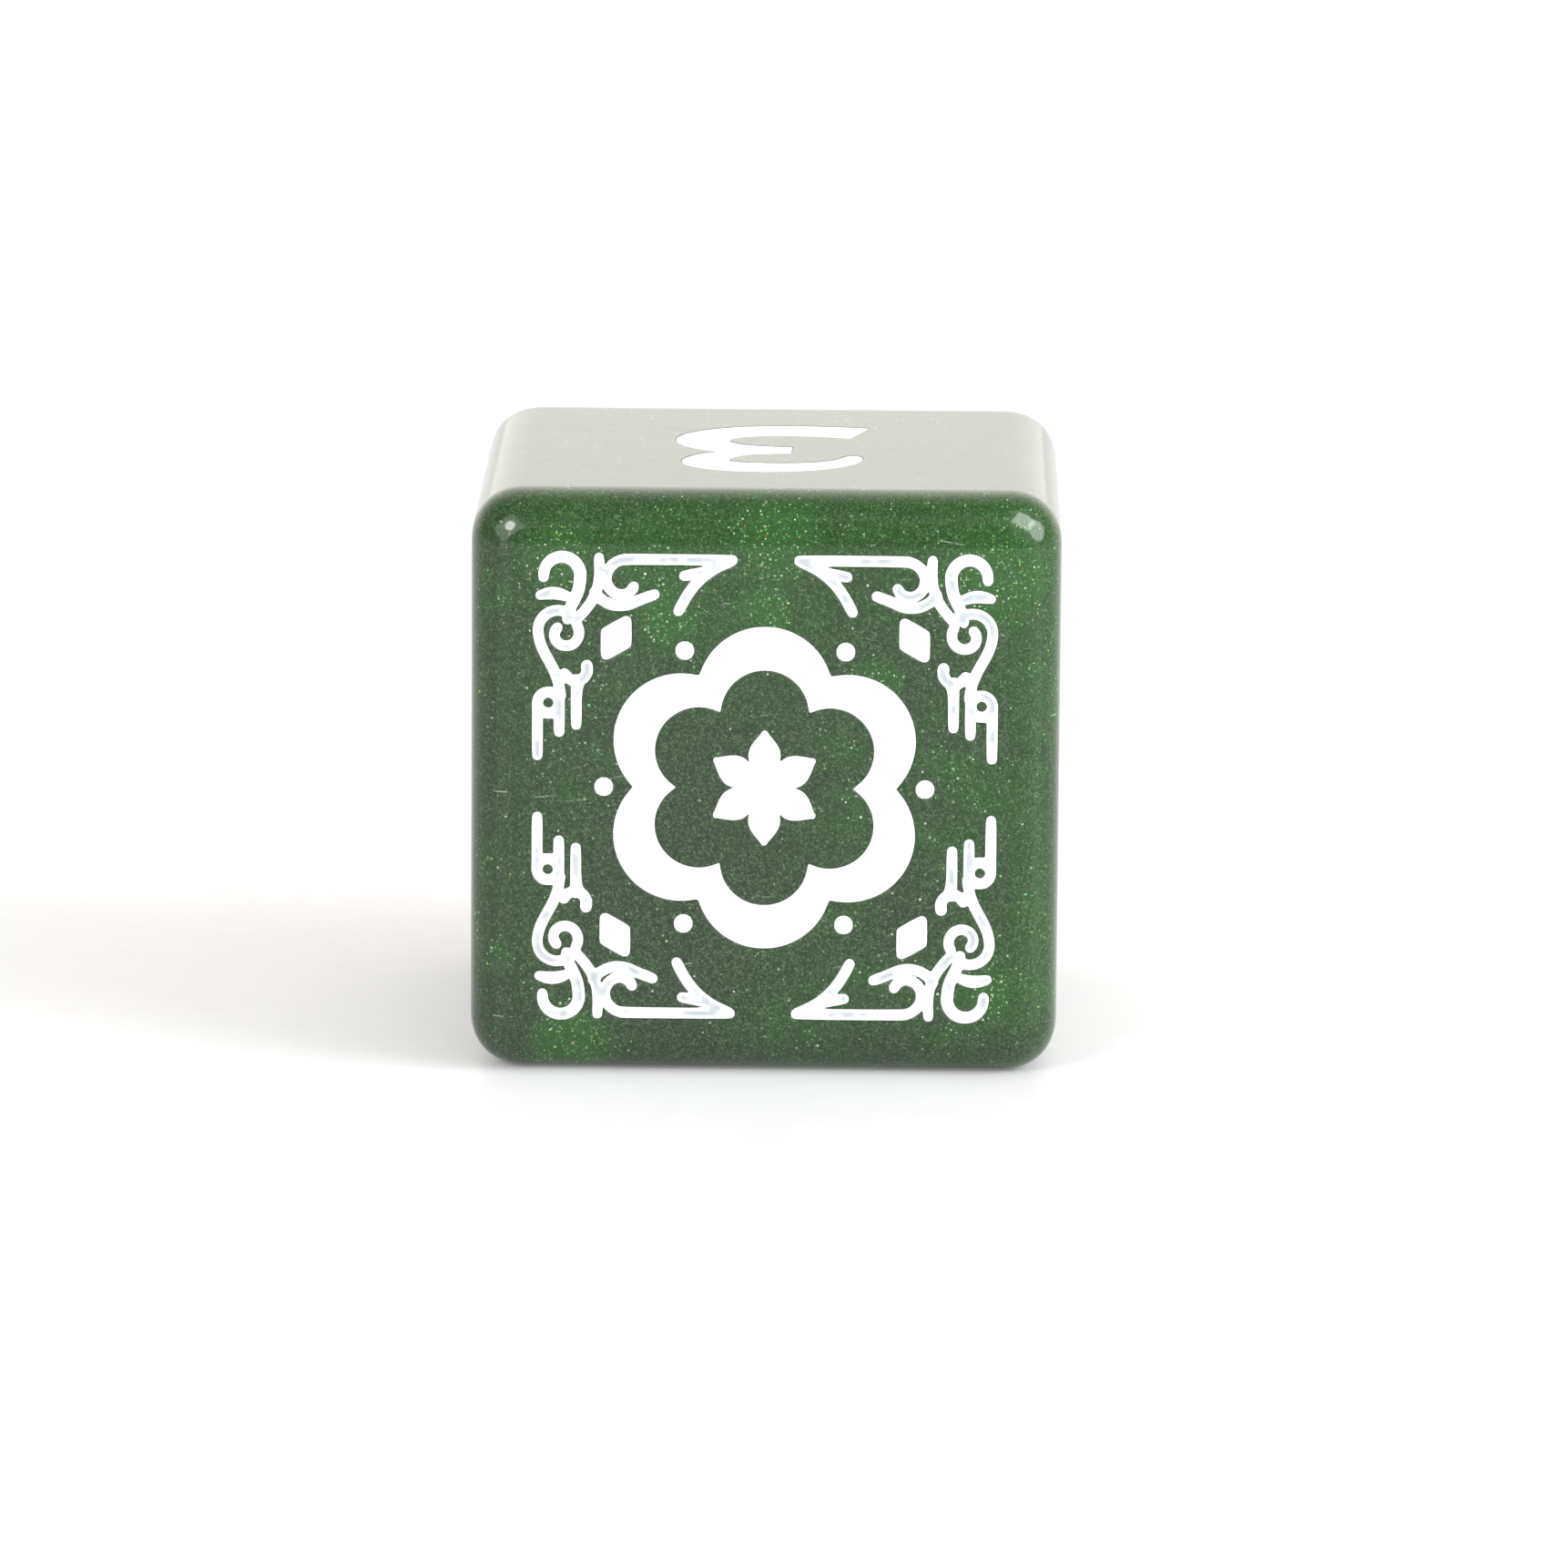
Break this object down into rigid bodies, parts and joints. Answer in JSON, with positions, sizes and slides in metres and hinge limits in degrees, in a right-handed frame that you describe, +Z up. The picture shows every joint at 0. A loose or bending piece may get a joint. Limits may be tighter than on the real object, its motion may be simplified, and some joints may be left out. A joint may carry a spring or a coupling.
{
  "type": "polyhedral die",
  "caption": "Six-sided gaming die with rounded edges and engraved, paint-filled numerals and ornament.",
  "frame": {"origin": "centre of the face that the die stands on", "axes": "+Z up through the face with the 3, -Y out of the ornament face, +X out of the face with the 5"},
  "size_m": [0.016, 0.016, 0.016],
  "materials": {
    "resin": "polished translucent green resin with fine glitter",
    "paint": "satin white enamel lying in the engravings"
  },
  "bodies": {
    "root": {"die_body": "resin", "numeral_1_fill": "paint", "numeral_2_fill": "paint", "numeral_3_fill": "paint", "numeral_4_fill": "paint", "numeral_5_fill": "paint", "scroll_fill_upper_right": "paint", "lozenge_fill_upper_right": "paint", "scroll_fill_upper_left": "paint", "lozenge_fill_upper_left": "paint", "scroll_fill_lower_left": "paint", "lozenge_fill_lower_left": "paint", "scroll_fill_lower_right": "paint", "lozenge_fill_lower_right": "paint", "lobed_ring_fill": "paint", "rosette_fill": "paint", "pip_fill_1": "paint", "pip_fill_2": "paint", "pip_fill_3": "paint", "pip_fill_4": "paint", "pip_fill_5": "paint", "pip_fill_6": "paint"}
  },
  "joints": []
}
